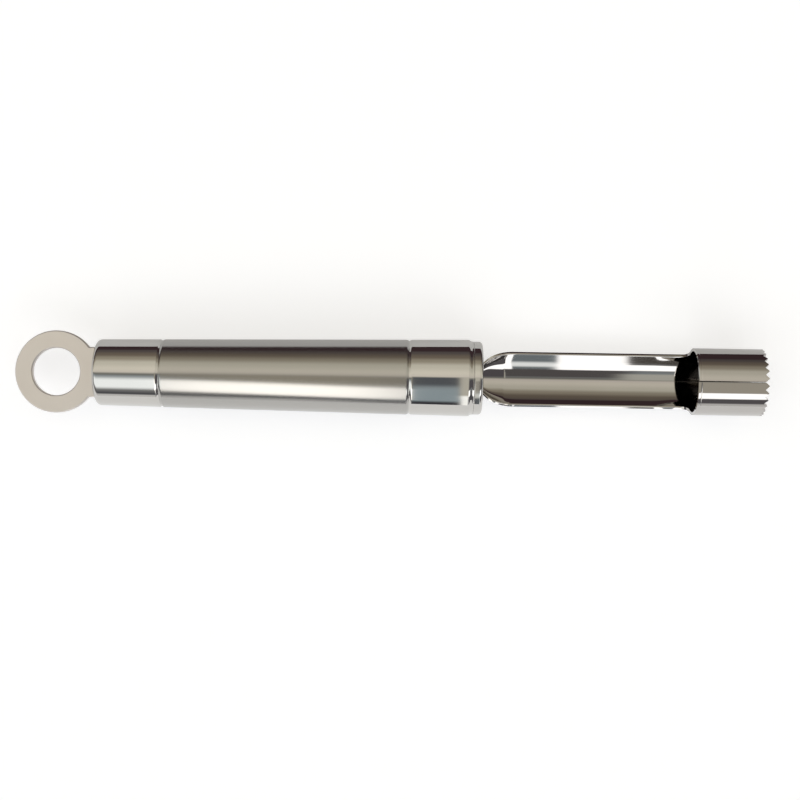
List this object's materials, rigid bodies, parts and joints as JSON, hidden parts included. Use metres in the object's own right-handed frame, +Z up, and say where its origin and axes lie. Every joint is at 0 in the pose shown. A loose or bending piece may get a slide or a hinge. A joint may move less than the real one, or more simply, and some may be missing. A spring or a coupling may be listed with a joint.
{
  "type": "apple corer",
  "caption": "Apple corer: hollow tapered steel handle with a hanging ring, and a rolled sheet blade with an open trough and a serrated round cutter.",
  "frame": {"origin": "centre of the hanging hole, in the middle of the ring's thickness", "axes": "+X from the ring to the teeth, +Z up as the tool lies on its tapered handle, on the side to which the trough opens. The tool's axis and its ring rise 0.83 degrees towards +X, which makes the handle's lowest line level"},
  "size_m": [0.22, 0.0242, 0.0227],
  "materials": {
    "ring_steel": "satin stainless steel",
    "handle_steel": "satin stainless steel between two grooves, polished at both ends",
    "cap_steel": "polished stainless steel",
    "blade_steel": "mirror polished stainless steel"
  },
  "bodies": {
    "root": {"hanging_ring": "ring_steel", "handle_tube": "handle_steel", "rear_cap": "handle_steel", "front_cap": "cap_steel", "corer_blade": "blade_steel"}
  },
  "joints": []
}
